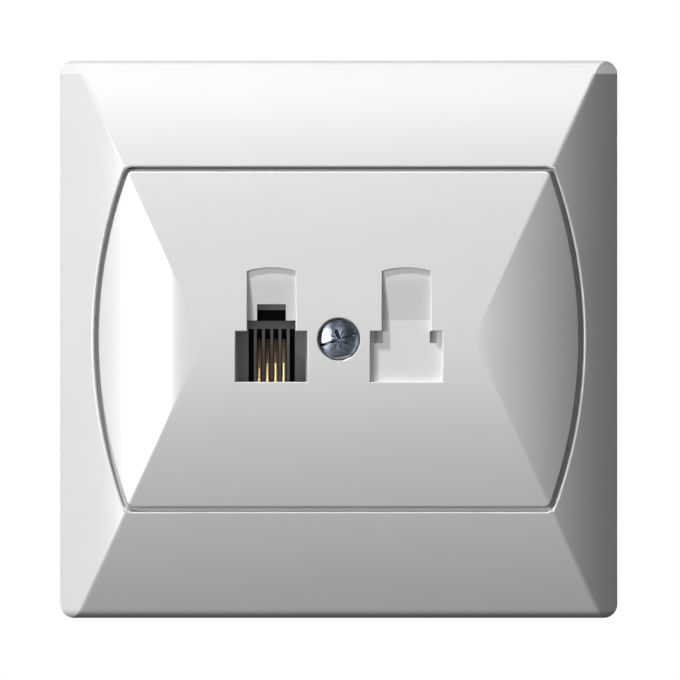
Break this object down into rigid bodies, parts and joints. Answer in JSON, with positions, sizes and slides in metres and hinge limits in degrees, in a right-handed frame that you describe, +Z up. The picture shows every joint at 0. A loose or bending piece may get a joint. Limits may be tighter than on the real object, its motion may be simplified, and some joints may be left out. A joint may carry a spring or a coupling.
{
  "type": "telephone wall socket",
  "caption": "Flush telephone wall socket with a crowned square frame and plate, a modular jack port, a blank port, rear terminals and spreading claws for a wall box.",
  "frame": {"origin": "middle of the plate on the wall plane", "axes": "+Z up, +X to the right seen from the room, +Y into the wall"},
  "size_m": [0.08, 0.033, 0.08],
  "materials": {
    "white_plastic": "glossy white moulded plastic",
    "screw_steel": "zinc plated",
    "sheet_steel": "zinc plated sheet",
    "brass": "plain turned brass",
    "contact_gold": "gold plated wire",
    "jack_plastic": "dark moulded plastic",
    "base_plastic": "pale moulded plastic",
    "terminal_plastic": "grey moulded plastic",
    "board_laminate": "green laminate with a lacquer"
  },
  "bodies": {
    "socket": {"outer_frame": "white_plastic", "centre_plate": "white_plastic", "cover_screw": "screw_steel", "base_rivet_top": "screw_steel", "base_rivet_bottom": "screw_steel", "board_screw_1": "screw_steel", "board_screw_2": "screw_steel", "terminal_screw_1": "screw_steel", "terminal_screw_2": "screw_steel", "terminal_screw_3": "screw_steel", "terminal_screw_4": "screw_steel", "claw_pin_left": "screw_steel", "claw_pin_right": "screw_steel", "mounting_ring": "sheet_steel", "screw_bush": "brass", "terminal_clamp_1": "brass", "terminal_clamp_2": "brass", "terminal_clamp_3": "brass", "terminal_clamp_4": "brass", "contact_wire_1": "contact_gold", "contact_wire_2": "contact_gold", "contact_wire_3": "contact_gold", "contact_wire_4": "contact_gold", "jack_housing": "jack_plastic", "mechanism_base": "base_plastic", "terminal_block": "terminal_plastic", "circuit_board": "board_laminate"},
    "claw_screw_left": {"claw_screw_left": "screw_steel"},
    "claw_nut_left": {"claw_nut_left": "screw_steel"},
    "claw_left": {"claw_left": "sheet_steel"},
    "claw_screw_right": {"claw_screw_right": "screw_steel"},
    "claw_nut_right": {"claw_nut_right": "screw_steel"},
    "claw_right": {"claw_right": "sheet_steel"}
  },
  "joints": [
    {"name": "claw_screw_left_turn", "type": "hinge", "parent": "socket", "child": "claw_screw_left", "pos_m": [-0.0245, 0, 0], "axis": [0, 1, 0], "range_deg": [0, 1080]},
    {"name": "claw_nut_left_travel", "type": "slide", "parent": "socket", "child": "claw_nut_left", "axis": [0, -1, 0], "range_m": [0, 0.0015]},
    {"name": "claw_left_swing", "type": "hinge", "parent": "socket", "child": "claw_left", "pos_m": [-0.0195, 0.0025, 0], "axis": [0, 0, 1], "range_deg": [0, 20]},
    {"name": "claw_screw_right_turn", "type": "hinge", "parent": "socket", "child": "claw_screw_right", "pos_m": [0.0245, 0, 0], "axis": [0, 1, 0], "range_deg": [0, 1080]},
    {"name": "claw_nut_right_travel", "type": "slide", "parent": "socket", "child": "claw_nut_right", "axis": [0, -1, 0], "range_m": [0, 0.0015]},
    {"name": "claw_right_swing", "type": "hinge", "parent": "socket", "child": "claw_right", "pos_m": [0.0195, 0.0025, 0], "axis": [0, 0, -1], "range_deg": [0, 20]}
  ],
  "couplings": [
    {"joint": "claw_screw_left_turn", "follows": "claw_nut_left_travel", "rad_per_m": 12566},
    {"joint": "claw_left_swing", "follows": "claw_nut_left_travel", "rad_per_m": 232.71},
    {"joint": "claw_screw_right_turn", "follows": "claw_nut_right_travel", "rad_per_m": 12566},
    {"joint": "claw_right_swing", "follows": "claw_nut_right_travel", "rad_per_m": 232.71}
  ]
}
